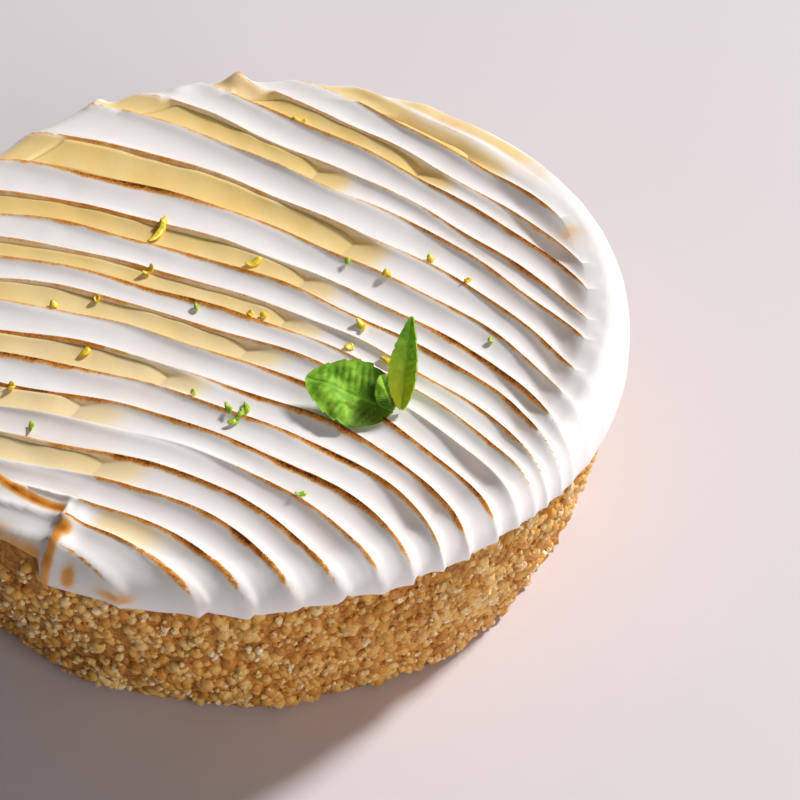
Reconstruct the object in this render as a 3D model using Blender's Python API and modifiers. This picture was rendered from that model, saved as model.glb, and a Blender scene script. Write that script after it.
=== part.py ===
"""Lemon meringue tart: a case of pressed crumb, filled with lemon curd and covered with
toasted meringue that was combed in long curved strokes, with a tip of mint laid on it.

Every named size is in millimetres. add_mesh() turns them to metres, with +Z up and the
origin at the centre of the flat base. The strokes of the comb are laid out in a frame of
their own: u runs along the strokes and c counts across them, so that a ridge is a line of
one c, and bend() says how far that line has swung aside at each u."""

import math

import bpy
import numpy as np

NAME = "lemon_meringue_tart"
MM = 0.001
GAP = 0.3

# Crumb case, a turned cup
BASE_RADIUS = 48.6
RIM_RADIUS = 54.9
RIM_SHOULDER_HEIGHT = 26.0
CASE_HEIGHT = 31.6
MOUTH_RADIUS = 49.8
WELL_RADIUS = 45.0
FLOOR_THICKNESS = 5.0
FLOOR_CORNER = 2.0
BASE_CHAMFER = 1.4
CASE_SHOULDER = ((51.4, CASE_HEIGHT), (52.2, 31.0), (53.3, 29.0), (54.2, 27.5))
WALL_BULGE = 0.8
CASE_STEPS = 72
WALL_ROWS = 8
CRUMB_SIZE = 7.0
CRUMB_RELIEF = 1.3

# Lemon curd, filling the case in a low dome
CURD_TOP = 32.7
CURD_DOME = ((0.0, CURD_TOP), (25.0, 32.6), (40.0, 32.2), (47.5, 31.8))
CURD_STEPS = 64

# Meringue
MERINGUE_RADIUS = 55.9
CREST_HEIGHT = 34.4
CREST_FALL = 0.7
FAR_RISE = 0.9
FLAT_RADIUS = 49.5
RIM_BITE = 0.5
HEM_HEIGHT = 27.9
HEM_WAVE = 0.5
HEM_INNER_RADIUS = 54.6
# The rim is a quarter of an ellipse, and a squarer shoulder round this direction
FULL_ANGLE = math.radians(50)
FULL_MIDDLE = 0.5
FULL_SWING = 0.9
FULL_SQUARENESS = 0.45
CUTTER_FOOT = 24.0
SKIRT_RINGS = 5

# Strokes of the comb
STROKE_ANGLE = math.radians(-40)
FIRST_ROW = -47.0
LAST_ROW = 50.5
FIRST_RIDGE = -56.5
RIDGE_GAPS = (
    5.3, 5.2, 4.1, 4.9, 4.8, 4.7, 4.2, 4.8, 4.2, 4.8, 4.0, 3.7, 3.3,
    4.4, 4.0, 5.7, 5.9, 6.4, 4.3, 6.2, 4.0, 5.6, 4.4, 5.3, 5.6,
)
VALLEY_SAMPLES = (0.0, 0.28, 0.72)
STROKE_COLUMNS = 20
VALLEY_DEPTH = 0.35
VALLEY_SLOPE = 0.15
BARE_FLOOR = 32.0
BARE_WALL = 1.1
BARE_FADE = 9.0
BARE_RADIUS = 47.5
# Each stroke that scraped down to the curd: its valley, and the u where it ends
BARE_ENDS = {4: 2, 6: -5, 8: -2, 10: 7, 12: 4, 14: 5, 16: 2, 18: -9, 20: 2, 22: 9}
NOT_BARE = -100.0

# Hollow pressed into the rim beside the first stroke, and the peak at its edge
HOLLOW_START = math.radians(-165)
HOLLOW_END = math.radians(-121)
HOLLOW_RISE = math.radians(26)
HOLLOW_FALL = math.radians(3)
HOLLOW_DEPTH = 3.4
HOLLOW_FOOT_DEPTH = 2.2
HOLLOW_FOOT_RISE = 2.6
PEAK_HEIGHT = 1.2
PEAK_WIDTH = 2.4
PEAK_REACH = 3.0

# Mint tip: three leaves, each with the place of its foot, its turn about Z and its pitch up
LEAF_THICKNESS = 0.35
LEAF_COLUMNS = 9
LEAF_ROWS = 5
LEAF_FOOT_HALF_WIDTH = 0.4
LEAVES = {
    "mint_leaf_left": dict(
        foot=(17.4, -25.6, 35.2), turn=158, pitch=10, roll=12,
        length=11.0, width=10.0, cup=0.06, curl=0.12, fold=0.12,
    ),
    "mint_leaf_middle": dict(
        foot=(18.9, -24.0, 35.0), turn=112, pitch=58, roll=0,
        length=3.6, width=3.0, cup=0.1, curl=0.0, fold=0.1,
    ),
    "mint_leaf_right": dict(
        foot=(20.4, -25.2, 35.0), turn=71, pitch=60, roll=0,
        length=12.0, width=5.0, cup=0.08, curl=0.0, fold=0.5,
    ),
}


def linear(code):
    """sRGB hex to the linear colour that a shader takes."""
    parts = [int(code[i : i + 2], 16) / 255 for i in (0, 2, 4)]
    return [v / 12.92 if v <= 0.04045 else ((v + 0.055) / 1.055) ** 2.4 for v in parts] + [1.0]


def add_material(name, colour, roughness):
    material = bpy.data.materials.new(name)
    material.use_nodes = True
    shader = material.node_tree.nodes["Principled BSDF"]
    shader.inputs["Base Color"].default_value = linear(colour)
    shader.inputs["Roughness"].default_value = roughness
    shader.inputs["Metallic"].default_value = 0.0
    material.diffuse_color = linear(colour)
    return material


def add_mesh(name, points, edges, faces, collection, material=None):
    """A mesh object from points in millimetres."""
    mesh = bpy.data.meshes.new(name)
    mesh.from_pydata((np.asarray(points, float) * MM).tolist(), edges, faces)
    obj = bpy.data.objects.new(name, mesh)
    collection.objects.link(obj)
    if material:
        mesh.materials.append(material)
    return obj


def add_turned(name, profile, steps, collection, material=None):
    """A profile of (radius, height) pairs, turned about Z by a Screw modifier."""
    points = [(radius, 0.0, height) for radius, height in profile]
    edges = [(i, i + 1) for i in range(len(points) - 1)]
    obj = add_mesh(name, points, edges, [], collection, material)
    screw = obj.modifiers.new("Turn", "SCREW")
    screw.axis = "Z"
    screw.steps = steps
    screw.render_steps = steps
    screw.use_merge_vertices = True
    screw.merge_threshold = 0.0001
    screw.use_smooth_shade = True
    return obj


def smooth_step(x):
    x = np.clip(x, 0.0, 1.0)
    return x * x * (3 - 2 * x)


# ---------------------------------------------------------------- crumb case


def add_case(collection, material):
    """A flared cup whose outer wall is roughened by a cloud texture."""
    wall = []
    for row in range(WALL_ROWS + 1):
        t = row / WALL_ROWS
        radius = RIM_RADIUS + (BASE_RADIUS - RIM_RADIUS) * t + WALL_BULGE * math.sin(math.pi * t)
        wall.append((radius, RIM_SHOULDER_HEIGHT * (1 - t) + BASE_CHAMFER * t))
    inside = [(0, FLOOR_THICKNESS), (WELL_RADIUS - FLOOR_CORNER, FLOOR_THICKNESS),
              (WELL_RADIUS, FLOOR_THICKNESS + FLOOR_CORNER), (MOUTH_RADIUS, CASE_HEIGHT)]
    base = [(BASE_RADIUS - BASE_CHAMFER, 0), (0, 0)]
    profile = [*inside, *CASE_SHOULDER, *wall, *base]
    case = add_turned("crust", profile, CASE_STEPS, collection, material)

    first = len(inside) + len(CASE_SHOULDER)
    crumb = case.vertex_groups.new(name="crumb")
    crumb.add(list(range(first, first + len(wall))), 1.0, "REPLACE")
    clouds = bpy.data.textures.new("Pressed crumb", "CLOUDS")
    clouds.noise_scale = CRUMB_SIZE * MM
    clouds.noise_depth = 1
    rough = case.modifiers.new("Crumb", "DISPLACE")
    rough.texture = clouds
    rough.texture_coords = "LOCAL"
    rough.direction = "NORMAL"
    rough.vertex_group = crumb.name
    rough.strength = CRUMB_RELIEF * MM
    rough.mid_level = 0.5
    return case


# --------------------------------------------------------------- lemon curd


def add_curd(collection, material):
    """The curd fills the well up to its brim."""
    well = [(MOUTH_RADIUS - GAP, CASE_HEIGHT - GAP),
            (WELL_RADIUS - GAP, FLOOR_THICKNESS + FLOOR_CORNER + GAP),
            (WELL_RADIUS - FLOOR_CORNER - GAP, FLOOR_THICKNESS + GAP), (0, FLOOR_THICKNESS + GAP)]
    return add_turned("lemon_curd", [*CURD_DOME, *well], CURD_STEPS, collection, material)


# ----------------------------------------------------------------- meringue


def bend(u, c):
    """How far the stroke line c has swung aside at u: a quartic about the point where the
    line runs straight, whose place and strength change from line to line."""
    k = c / 50
    s = (u - (21.6 - 30.2 * k - 37.2 * k * k)) / 50
    square = 11.0 - 15.6 * k + 8.0 * k * k
    cube = 6.2 - 11.6 * k + 1.6 * k * k
    fourth = 3.4 - 0.65 * k
    return -square * s**2 - cube * s**3 - fourth * s**4


def stroke_to_plan(u, c):
    """Stroke coordinates to x and y."""
    v = c + bend(u, c)
    cos, sin = math.cos(STROKE_ANGLE), math.sin(STROKE_ANGLE)
    return u * cos - v * sin, u * sin + v * cos


def plan_to_stroke(x, y):
    """x and y to stroke coordinates, by halving steps towards the line that passes there."""
    cos, sin = math.cos(STROKE_ANGLE), math.sin(STROKE_ANGLE)
    u = x * cos + y * sin
    v = y * cos - x * sin
    c = np.clip(v, -60.0, 66.0)
    for _ in range(40):
        c = np.clip(c + 0.5 * (v - bend(u, c) - c), -60.0, 66.0)
    return u, c


RIDGES = FIRST_RIDGE + np.concatenate([[0.0], np.cumsum(RIDGE_GAPS)])


def relief(u, c, flat_radius):
    """Height of the combed surface against its crests: each valley is a shallow arch turned
    over, and where the comb reached the curd it has a deep flat floor and steep walls."""
    valley = np.clip(np.searchsorted(RIDGES, c, side="right") - 1, 0, len(RIDGE_GAPS) - 1)
    width = np.array(RIDGE_GAPS)[valley]
    across = np.clip((c - RIDGES[valley]) / width, 0.0, 1.0)
    shallow = (VALLEY_DEPTH + VALLEY_SLOPE * width) * (1 - (2 * across - 1) ** 2)
    ends = np.array([BARE_ENDS.get(i, NOT_BARE) for i in range(len(RIDGE_GAPS))])[valley]
    bare = smooth_step((ends + BARE_FADE / 2 - u) / BARE_FADE)
    bare = bare * smooth_step((BARE_RADIUS - flat_radius) / 2)
    edge = np.minimum(across, 1 - across) * width
    deep = (CREST_HEIGHT - BARE_FLOOR) * smooth_step(edge / BARE_WALL)
    return -(shallow + (deep - shallow) * bare)


def hollow(angle):
    """How much of the hollow beside the first stroke is reached at this angle, 0 to 1."""
    rise = smooth_step((angle - HOLLOW_START) / HOLLOW_RISE)
    fall = smooth_step((HOLLOW_END - angle) / HOLLOW_FALL)
    return rise * fall


def fullness(angle):
    """How full the rim's shoulder is at this angle, 0 to 1. The strokes start on the full
    side and run out over the round one."""
    return smooth_step(FULL_MIDDLE + FULL_SWING * np.cos(angle - FULL_ANGLE))


def surface(x, y, drop):
    """The meringue's outer surface. x and y are the place on the flat top, and drop runs
    from 0 there to 1 at the hem, a quarter of a superellipse down the rim. On the flat top
    the combed relief is a height, and on the rim it bites sideways."""
    flat_radius = np.hypot(x, y)
    angle = np.arctan2(y, x)
    full = fullness(angle)
    power = 1 - FULL_SQUARENESS * full
    out = math.sin(drop * math.pi / 2) ** power
    left = max(math.cos(drop * math.pi / 2), 0.0) ** power
    pressed = hollow(angle)
    depth = HOLLOW_DEPTH + (HOLLOW_FOOT_DEPTH - HOLLOW_DEPTH) * drop
    inset = pressed * depth * np.clip(flat_radius / FLAT_RADIUS, 0, 1) ** 10
    radius = flat_radius + (MERINGUE_RADIUS - flat_radius) * out - inset
    u, c = plan_to_stroke(radius * np.cos(angle), radius * np.sin(angle))
    bite = relief(u, c, flat_radius + drop * FLAT_RADIUS)
    rise = FAR_RISE * full - CREST_FALL * (1 - full)
    top = CREST_HEIGHT + rise * (flat_radius / FLAT_RADIUS) ** 4
    hem = HEM_HEIGHT + HEM_WAVE * np.sin(9 * angle + 1.0) * np.cos(4 * angle)
    hem = hem + HOLLOW_FOOT_RISE * pressed
    z = hem + (top + bite * (1 - drop) - hem) * left
    radius = radius + RIM_BITE * bite * out * (1 - drop / 2)
    away = (angle - HOLLOW_END) * FLAT_RADIUS
    peak = np.exp(-((away / PEAK_WIDTH) ** 2) - ((flat_radius - FLAT_RADIUS) / PEAK_REACH) ** 2)
    z = z + PEAK_HEIGHT * peak * (1 - drop)
    return radius * np.cos(angle), radius * np.sin(angle), z


def stroke_rows():
    """The values of c that carry a row of points: the crests and a few between them."""
    rows = [ridge + gap * part for ridge, gap in zip(RIDGES, RIDGE_GAPS) for part in VALLEY_SAMPLES]
    return np.array([c for c in rows if FIRST_ROW < c < LAST_ROW])


def row_ends(c):
    """The two values of u at which each stroke line crosses the edge of the flat top."""
    u = np.linspace(-FLAT_RADIUS, FLAT_RADIUS, 1201)
    inside = np.hypot(*stroke_to_plan(u[None, :], c[:, None])) < FLAT_RADIUS
    first = inside.argmax(axis=1)
    last = inside.shape[1] - 1 - inside[:, ::-1].argmax(axis=1)
    return u[first], u[last]


def add_meringue_block(collection, material):
    """The combed top on a grid of stroke lines, its rounded rim, and a flat underside."""
    c = stroke_rows()
    start, stop = row_ends(c)
    along = np.linspace(0, 1, STROKE_COLUMNS + 1)
    u = start[:, None] + (stop - start)[:, None] * along[None, :]
    x, y = stroke_to_plan(u, np.repeat(c[:, None], STROKE_COLUMNS + 1, axis=1))
    rows, columns = x.shape
    points = [np.stack([axis.ravel() for axis in surface(x, y, 0.0)], axis=1)]
    index = np.arange(rows * columns).reshape(rows, columns)
    faces = [
        (index[i, j], index[i, j + 1], index[i + 1, j + 1], index[i + 1, j])
        for i in range(rows - 1)
        for j in range(columns - 1)
    ]

    # The grid's border, counter-clockwise, is carried down the rim ring by ring.
    border = np.concatenate([index[0, :-1], index[:-1, -1], index[-1, :0:-1], index[:0:-1, 0]])
    rim_x, rim_y = x.ravel()[border], y.ravel()[border]
    ring = border
    total = rows * columns
    for step in range(1, SKIRT_RINGS + 1):
        down = surface(rim_x, rim_y, step / SKIRT_RINGS)
        points.append(np.stack(down, axis=1))
        below = np.arange(total, total + len(border))
        total += len(border)
        faces += [
            (ring[i], below[i], below[(i + 1) % len(border)], ring[(i + 1) % len(border)])
            for i in range(len(border))
        ]
        ring = below
    faces.append(tuple(ring[::-1]))
    faces = [tuple(map(int, face)) for face in faces]
    return add_mesh("meringue", np.concatenate(points), [], faces, collection, material)


def add_meringue(collection, tools, material):
    """The meringue block with the curd and the case's brim cut out of it, which opens the
    strokes that reach the curd."""
    block = add_meringue_block(collection, material)
    dome = [(radius, height + GAP) for radius, height in CURD_DOME]
    brim = [(MOUTH_RADIUS, CASE_HEIGHT + GAP)]
    shoulder = [(radius + GAP, height + GAP / 2) for radius, height in CASE_SHOULDER]
    foot = [(HEM_INNER_RADIUS, CUTTER_FOOT), (0, CUTTER_FOOT)]
    profile = [*dome, *brim, *shoulder, *foot]
    cutter = add_turned("meringue_underside", profile, CASE_STEPS, tools)
    cutter.hide_render = True
    cutter.display_type = "WIRE"
    cut = block.modifiers.new("Underside", "BOOLEAN")
    cut.operation = "DIFFERENCE"
    cut.object = cutter
    cut.solver = "EXACT"
    return block


# ---------------------------------------------------------------------- mint


def leaf_grid(length, width, cup, curl, fold):
    """A leaf from its foot along +X: a pointed oval outline, cupped and folded across its
    midrib, and curled up along its length."""
    t = np.linspace(0.0, 1.0, LEAF_COLUMNS)[:, None]
    w = np.linspace(-1.0, 1.0, LEAF_ROWS)[None, :]
    half = width / 2 * np.sin(math.pi * t**0.75) ** 0.8
    half = np.maximum(half, LEAF_FOOT_HALF_WIDTH)
    x = length * (t - 0.10 * t * w * w)
    y = half * w
    z = cup * (half * w) ** 2 + fold * half * np.abs(w) + curl * length * t * t
    return x, y, z


def add_leaf(name, collection, material, foot, turn, pitch, roll, **form):
    """A leaf blade, thickened, turned about its foot and set down on the meringue."""
    x, y, z = leaf_grid(**form)
    points = np.stack([x.ravel(), y.ravel(), z.ravel()], axis=1)
    index = np.arange(x.size).reshape(x.shape).tolist()
    faces = [
        (index[i][j], index[i + 1][j], index[i + 1][j + 1], index[i][j + 1])
        for i in range(LEAF_COLUMNS - 1)
        for j in range(LEAF_ROWS - 1)
    ]
    leaf = add_mesh(name, points, [], faces, collection, material)
    leaf.location = [v * MM for v in foot]
    leaf.rotation_euler = (math.radians(roll), -math.radians(pitch), math.radians(turn))
    skin = leaf.modifiers.new("Thickness", "SOLIDIFY")
    skin.thickness = LEAF_THICKNESS * MM
    skin.offset = 1.0
    return leaf


def main():
    for obj in list(bpy.data.objects):
        bpy.data.objects.remove(obj, do_unlink=True)
    parts = bpy.data.collections.new(NAME)
    tools = bpy.data.collections.new(NAME + "_cutters")
    bpy.context.scene.collection.children.link(parts)
    bpy.context.scene.collection.children.link(tools)

    add_case(parts, add_material("Pressed biscuit crumb", "C89A5E", 0.8))
    add_curd(parts, add_material("Lemon curd", "EBCF8C", 0.35))
    add_meringue(parts, tools, add_material("Toasted meringue", "F1ECEE", 0.5))
    mint = add_material("Mint leaf", "4E9A26", 0.5)
    for name, form in LEAVES.items():
        add_leaf(name, parts, mint, **form)


main()
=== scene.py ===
"""Lemon meringue tart: the looks of a small tart with a case of pressed crumb, lemon curd, a
combed and toasted meringue and a tip of mint.

Shapes are worked out in millimetres as whole numpy arrays and turned to metres when they go
into a mesh. The comb's strokes have a frame of their own: u runs along the strokes and c
counts across them, so that a crest is a line of one c, and bend() says how far that line has
swung aside at each u."""

import math

import bpy
import numpy as np
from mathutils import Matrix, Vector


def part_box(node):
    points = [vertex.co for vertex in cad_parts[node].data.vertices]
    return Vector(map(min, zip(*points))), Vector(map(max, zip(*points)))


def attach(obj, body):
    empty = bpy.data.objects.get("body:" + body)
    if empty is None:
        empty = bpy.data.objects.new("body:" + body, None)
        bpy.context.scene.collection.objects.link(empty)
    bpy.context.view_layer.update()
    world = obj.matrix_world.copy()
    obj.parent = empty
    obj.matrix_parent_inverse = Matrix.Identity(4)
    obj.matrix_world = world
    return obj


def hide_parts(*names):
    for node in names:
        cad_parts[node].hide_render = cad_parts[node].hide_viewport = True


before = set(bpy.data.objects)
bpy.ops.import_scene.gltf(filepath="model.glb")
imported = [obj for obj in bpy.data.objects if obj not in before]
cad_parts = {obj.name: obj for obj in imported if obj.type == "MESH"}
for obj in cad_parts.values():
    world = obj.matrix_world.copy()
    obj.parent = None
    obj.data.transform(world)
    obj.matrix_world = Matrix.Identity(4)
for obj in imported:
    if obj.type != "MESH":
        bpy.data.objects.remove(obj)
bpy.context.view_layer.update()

bl_info = {
    "name": "Lemon Meringue Tart",
    "version": (1, 0, 0),
    "blender": (4, 5, 0),
    "location": "3D View > Sidebar > Tart",
    "description": "Builds the crumb, curd, toasted meringue and garnish of a lemon tart",
    "category": "Object",
}

MM = 0.001


def node_box(name):
    """Lowest and highest corner of a CAD node, in millimetres."""
    low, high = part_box(name)
    return np.array(low) / MM, np.array(high) / MM


CASE_LOW, CASE_HIGH = node_box("crust")
CURD_LOW, CURD_HIGH = node_box("lemon_curd")
TOP_LOW, TOP_HIGH = node_box("meringue")
CASE_RADIUS = (CASE_HIGH[0] - CASE_LOW[0]) / 2
CASE_HEIGHT = CASE_HIGH[2]
CURD_TOP = CURD_HIGH[2]
MERINGUE_RADIUS = 55.7

# Case
BASE_RADIUS = 48.4
WALL_BULGE = 0.8

# Strokes of the comb
STROKE_ANGLE = math.radians(-40)
FIRST_ROW = -47.0
LAST_ROW = 50.5
FIRST_CREST = -56.5
VALLEY_WIDTHS = np.array([
    5.3, 5.2, 4.1, 4.9, 4.8, 4.7, 4.2, 4.8, 4.2, 4.8, 4.0, 3.7, 3.3,
    4.4, 4.0, 5.7, 5.9, 6.4, 4.3, 6.2, 4.0, 5.6, 4.4, 5.3, 5.6,
])
CRESTS = FIRST_CREST + np.concatenate([[0.0], np.cumsum(VALLEY_WIDTHS)])
CREST_HEIGHT = 34.4
CREST_FALL = 0.7
FAR_RISE = 0.9
FLAT_RADIUS = 49.5
HEM_HEIGHT = 28.3
# The rim is a quarter of an ellipse, and a squarer shoulder round this direction
FULL_ANGLE = math.radians(50)
FULL_SQUARENESS = 0.45
# Tips that the comb lifted where its strokes start: x, y, height and radius
TIPS = ((-21.6, 50.4, 2.4, 1.5), (1.0, 53.6, 1.6, 2.2), (-8.5, 52.5, 0.6, 2.0), (31.0, 44.5, 0.5, 2.5))
# Each stroke that scraped down to the curd: its valley, and the u where it ends
BARE_ENDS = {4: 2, 6: -5, 8: -2, 10: 7, 12: 4, 14: 5, 16: 2, 18: -9, 20: 2, 22: 9}
STAINED_VALLEY = 2
BARE_FADE = 13.0
BARE_RADIUS = 49.2
BARE_FLOOR = 32.0
CURD_BELOW_CREST = 0.3

# Toast along each crest, in tenths, at seven stations of u
TOAST_STATIONS = np.array([-45.0, -30.0, -15.0, 0.0, 15.0, 30.0, 45.0])
TOAST = np.array([
    (4, 4, 4, 5, 5, 5, 4),
    (4, 4, 4, 5, 5, 5, 4),
    (3, 3, 5, 8, 6, 8, 5),
    (2, 2, 3, 2, 7, 8, 3),
    (6, 6, 6, 5, 6, 9, 4),
    (8, 8, 8, 8, 9, 10, 5),
    (3, 3, 3, 1, 1, 6, 5),
    (8, 8, 9, 5, 8, 10, 6),
    (9, 9, 8, 3, 8, 10, 5),
    (8, 8, 6, 2, 7, 9, 7),
    (3, 3, 3, 3, 7, 10, 8),
    (3, 3, 4, 4, 6, 2, 2),
    (3, 4, 6, 7, 4, 3, 6),
    (3, 4, 4, 3, 2, 5, 6),
    (3, 5, 5, 5, 6, 8, 8),
    (4, 6, 3, 2, 4, 9, 8),
    (5, 9, 5, 4, 5, 6, 5),
    (5, 4, 4, 3, 4, 7, 7),
    (3, 3, 3, 3, 6, 7, 6),
    (3, 3, 3, 3, 5, 8, 5),
    (4, 4, 5, 5, 7, 9, 6),
    (4, 4, 3, 3, 4, 5, 5),
    (4, 4, 4, 4, 5, 9, 7),
    (3, 3, 3, 3, 4, 5, 5),
    (5, 6, 7, 7, 6, 6, 5),
    (5, 6, 7, 7, 6, 6, 5),
]) / 10.0

# Hollow pressed into the rim beside the first stroke, and the peak at its edge
HOLLOW_START = math.radians(-165)
HOLLOW_END = math.radians(-121)
HOLLOW_RISE = math.radians(26)
HOLLOW_FALL = math.radians(2)
HOLLOW_DEPTH = 3.4
HOLLOW_FOOT_DEPTH = 2.2
HOLLOW_FOOT_RISE = 2.6
PEAK_HEIGHT = 1.2
PEAK_WIDTH = 1.8
PEAK_REACH = 3.0


# ------------------------------------------------------------------ arrays


def smooth_step(x):
    """3x^2 - 2x^3 between 0 and 1."""
    x = np.clip(x, 0.0, 1.0)
    return x * x * (3 - 2 * x)


def lattice(i, j, k, seed):
    """A fixed pseudo-random value, 0 to 1, at each corner of a cubic lattice."""
    mixed = i * 374761393 + j * 668265263 + k * 2147483647 + seed * 1274126177
    mixed = (mixed ^ (mixed >> 13)) * 1103515245
    return ((mixed ^ (mixed >> 16)) & 0xFFFF) / 65535.0


def lumps(x, y, z, size, seed=0):
    """Value noise, -1 to 1: lattice values a size apart, joined by smooth steps."""
    places = [np.asarray(a, float) / size for a in np.broadcast_arrays(x, y, z)]
    corners = [np.floor(a).astype(np.int64) for a in places]
    fx, fy, fz = [smooth_step(a - b) for a, b in zip(places, corners)]
    i, j, k = corners
    total = 0.0
    for di, wi in ((0, 1 - fx), (1, fx)):
        for dj, wj in ((0, 1 - fy), (1, fy)):
            for dk, wk in ((0, 1 - fz), (1, fz)):
                total = total + lattice(i + di, j + dj, k + dk, seed) * wi * wj * wk
    return 2 * total - 1


def grid_quads(rows, columns, wrap=False):
    """Quads of a grid numbered row by row; wrap joins the last column to the first."""
    index = np.arange(rows * columns).reshape(rows, columns)
    if wrap:
        index = np.concatenate([index, index[:, :1]], axis=1)
    corners = (index[:-1, :-1], index[:-1, 1:], index[1:, 1:], index[1:, :-1])
    return np.stack([c.ravel() for c in corners], axis=1)


def add_piece(name, points, faces, material, replaces=None, fields=None, smooth=True):
    """A mesh object at the origin from points in millimetres and faces that all have the
    same number of corners, riding on the tart's one body."""
    mesh = bpy.data.meshes.new(name)
    points = np.asarray(points, float)
    faces = np.asarray(faces, np.int32)
    mesh.vertices.add(len(points))
    mesh.vertices.foreach_set("co", (points * MM).astype(np.float32).ravel())
    mesh.loops.add(faces.size)
    mesh.loops.foreach_set("vertex_index", faces.ravel())
    mesh.polygons.add(len(faces))
    mesh.polygons.foreach_set("loop_start", np.arange(0, faces.size, faces.shape[1], dtype=np.int32))
    mesh.polygons.foreach_set("use_smooth", np.full(len(faces), smooth))
    for field, values in (fields or {}).items():
        layer = mesh.attributes.new(field, "FLOAT", "POINT")
        layer.data.foreach_set("value", np.asarray(values, np.float32).ravel())
    mesh.materials.append(material)
    mesh.update(calc_edges=True)
    mesh.validate()
    piece = bpy.data.objects.new(name, mesh)
    bpy.context.scene.collection.objects.link(piece)
    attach(piece, "root")
    if replaces:
        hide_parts(*replaces)
    return piece


# ------------------------------------------------------------- the strokes


def bend(u, c):
    """How far the stroke line c has swung aside at u: minus a quartic in the distance from
    the point where the line runs straight, plus two slow waves that make it hand-drawn."""
    k = c / 50
    s = (u - (21.6 - 30.2 * k - 37.2 * k * k)) / 50
    square = 11.0 - 15.6 * k + 8.0 * k * k
    cube = 6.2 - 11.6 * k + 1.6 * k * k
    fourth = 3.4 - 0.65 * k
    hand = 0.32 * np.sin(u / 6.5 + 0.22 * c) + 0.14 * np.sin(u / 3.1 - 0.3 * c + 2.0)
    return -square * s**2 - cube * s**3 - fourth * s**4 + hand


def stroke_to_plan(u, c):
    """Stroke coordinates to x and y."""
    v = c + bend(u, c)
    cos, sin = math.cos(STROKE_ANGLE), math.sin(STROKE_ANGLE)
    return u * cos - v * sin, u * sin + v * cos


def plan_to_stroke(x, y):
    """x and y to stroke coordinates, by halving steps towards the line that passes there."""
    cos, sin = math.cos(STROKE_ANGLE), math.sin(STROKE_ANGLE)
    u = x * cos + y * sin
    v = y * cos - x * sin
    c = np.clip(v, -60.0, 66.0)
    for _ in range(40):
        c = np.clip(c + 0.5 * (v - bend(u, c) - c), -60.0, 66.0)
    return u, c


def across_valley(c):
    """The valley that each c lies in, its width, and how far across it c is, 0 to 1."""
    valley = np.clip(np.searchsorted(CRESTS, c + 1e-6, side="right") - 1, 0, len(VALLEY_WIDTHS) - 1)
    width = VALLEY_WIDTHS[valley]
    return valley, width, np.clip((c - CRESTS[valley]) / width, 0.0, 1.0)


def bareness(u, valley, flat_radius):
    """1 where a stroke reached the curd, falling smoothly to 0 at its end and at the rim."""
    ends = np.array([BARE_ENDS.get(i, -100.0) for i in range(len(VALLEY_WIDTHS))])[valley]
    ends = ends + 2.0 * np.sin(1.7 * valley)
    bare = smooth_step((ends + BARE_FADE / 2 - u) / BARE_FADE)
    return bare * smooth_step((BARE_RADIUS - flat_radius) / 2)


def valley_depth(u, valley, width, flat_radius):
    """Depth of a valley: more where it is wide, and more where it runs out over the rim."""
    depth = (0.26 + 0.13 * width) * (1 + 0.18 * np.sin(u / 9.0 + 2.1 * valley))
    return depth * (1 + 0.7 * smooth_step((flat_radius - 38) / 12) * smooth_step((u - 5) / 20))


def arch(across):
    """Share of the depth at the fraction f across a valley: 1 - |2 f^0.8 - 1|^2.2, which is
    steeper on the side behind the first crest."""
    return 1 - np.abs(2 * across**0.8 - 1) ** 2.2


def relief(u, c, flat_radius):
    """Height of the combed surface against its crests: each valley is an arch turned over,
    and a stroke that reached the curd has a deep flat floor between steep walls instead."""
    valley, width, across = across_valley(c)
    shallow = valley_depth(u, valley, width, flat_radius) * arch(across)
    edge = np.minimum(across, 1 - across) * width
    deep = (CREST_HEIGHT - BARE_FLOOR) * smooth_step(edge / 1.0)
    bare = bareness(u, valley, flat_radius)
    crest = 0.16 * np.sin(u / 5.0 + 2.4 * c) * np.exp(-((edge / 0.9) ** 2))
    return crest - shallow - (deep - shallow) * bare


def fullness(angle):
    """How full the rim's shoulder is at this angle, 0 to 1. The strokes start on the full
    side and run out over the round one."""
    return smooth_step(0.5 + 0.9 * np.cos(angle - FULL_ANGLE))


def dome(flat_radius, angle):
    """Height of the crests over the flat top, falling to the rim or rising to its full side."""
    full = fullness(angle)
    rise = FAR_RISE * full - CREST_FALL * (1 - full)
    return CREST_HEIGHT + rise * (flat_radius / FLAT_RADIUS) ** 4


def curd_height(u, c, flat_radius, angle):
    """Top of the curd: a low dome that swells up into the strokes that reached it, where it
    lies in an arch turned over just below the crests."""
    valley, width, across = across_valley(c)
    base = CURD_TOP - 1.2 * (flat_radius / FLAT_RADIUS) ** 3 - 0.5
    sunk = CURD_BELOW_CREST + 0.8 * valley_depth(u, valley, width, flat_radius) * arch(across)
    ripple = 0.05 * np.sin(u / 2.7 + 3 * valley) + 0.03 * np.sin(u / 1.1 + across * 5)
    window = smooth_step(np.minimum(across, 1 - across) * width / 0.35)
    rise = (dome(flat_radius, angle) - sunk + ripple - base) * window
    return base + rise * bareness(u - 3.0, valley, flat_radius - 1.0)


def hollow(angle):
    """How much of the hollow beside the first stroke is reached at this angle, 0 to 1."""
    rise = smooth_step((angle - HOLLOW_START) / HOLLOW_RISE)
    fall = smooth_step((HOLLOW_END - angle) / HOLLOW_FALL)
    return rise * fall


def calmed(angle):
    """How far the comb's marks are smoothed where its strokes run along the rim, 0 to 1."""
    return np.exp(-(((angle + 0.05) / 0.75) ** 4))


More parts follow.
